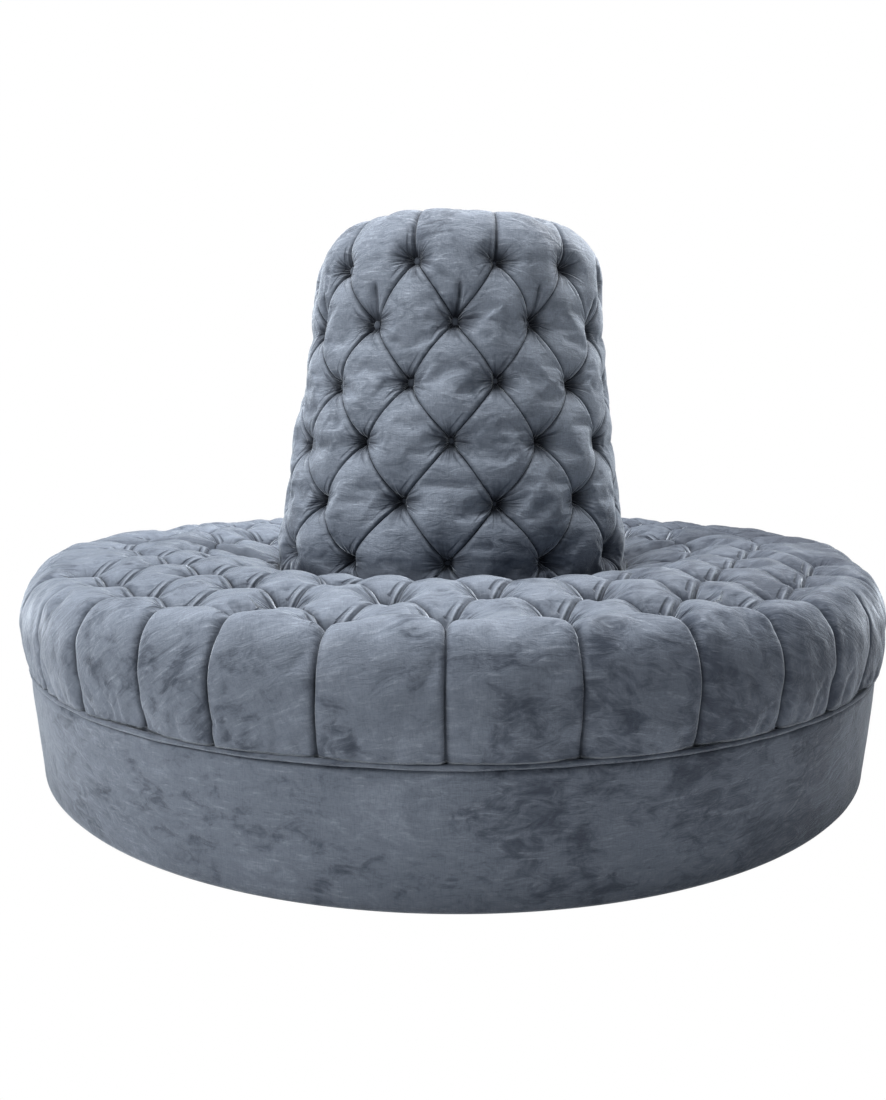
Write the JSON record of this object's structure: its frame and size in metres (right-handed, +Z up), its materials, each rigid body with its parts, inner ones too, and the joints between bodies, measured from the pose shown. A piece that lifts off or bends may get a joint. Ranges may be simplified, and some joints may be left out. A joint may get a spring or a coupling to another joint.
{
  "type": "round tufted lobby settee",
  "caption": "Round free-standing lobby settee: half-round deep-tufted seats on plain upholstered plinths around a tall tufted cone back, in crushed velvet",
  "frame": {"origin": "Bottom centre: the floor point under the middle of the cone, where the glides' undersides lie at zero height", "axes": "+Z up. X runs along the line where the two half-round seats meet. The front half lies towards -Y"},
  "size_m": [1.897, 1.8908, 1.144],
  "materials": {
    "velvet": "crushed velvet, blue-grey",
    "foam": "open-cell upholstery foam",
    "plywood": "raw plywood",
    "timber": "planed softwood",
    "lining": "black non-woven lining",
    "nylon": "black nylon",
    "steel": "zinc-plated steel"
  },
  "bodies": {
    "root": {"front_seat_cover": "velvet", "front_seat_foam": "foam", "front_seat_deck": "plywood", "front_base_skin": "plywood", "front_base_cover": "velvet", "front_piping": "velvet", "front_end_panel": "plywood", "front_bottom_board": "plywood", "front_hub_block": "timber", "front_dust_cover": "lining", "front_rib_left": "plywood", "front_rib_middle": "plywood", "front_rib_right": "plywood", "front_glide_1": "nylon", "front_glide_2": "nylon", "front_glide_3": "nylon", "front_glide_4": "nylon", "back_seat_cover": "velvet", "back_seat_foam": "foam", "back_seat_deck": "plywood", "back_base_skin": "plywood", "back_base_cover": "velvet", "back_piping": "velvet", "back_end_panel": "plywood", "back_bottom_board": "plywood", "back_hub_block": "timber", "back_dust_cover": "lining", "back_rib_left": "plywood", "back_rib_middle": "plywood", "back_rib_right": "plywood", "back_glide_1": "nylon", "back_glide_2": "nylon", "back_glide_3": "nylon", "back_glide_4": "nylon", "joining_bolt_1": "steel", "joining_bolt_2": "steel", "joining_nut_1": "steel", "joining_nut_2": "steel", "cone_base_board": "plywood", "cone_top_board": "plywood", "cone_skin": "plywood", "cone_foam": "foam", "cone_top_foam": "foam", "cone_cover": "velvet", "cone_top_button": "velvet", "cone_post_1": "timber", "cone_bolt_1": "steel", "cone_nut_1": "steel", "cone_post_2": "timber", "cone_bolt_2": "steel", "cone_nut_2": "steel", "cone_post_3": "timber", "cone_bolt_3": "steel", "cone_nut_3": "steel", "cone_post_4": "timber", "cone_bolt_4": "steel", "cone_nut_4": "steel"}
  },
  "joints": []
}
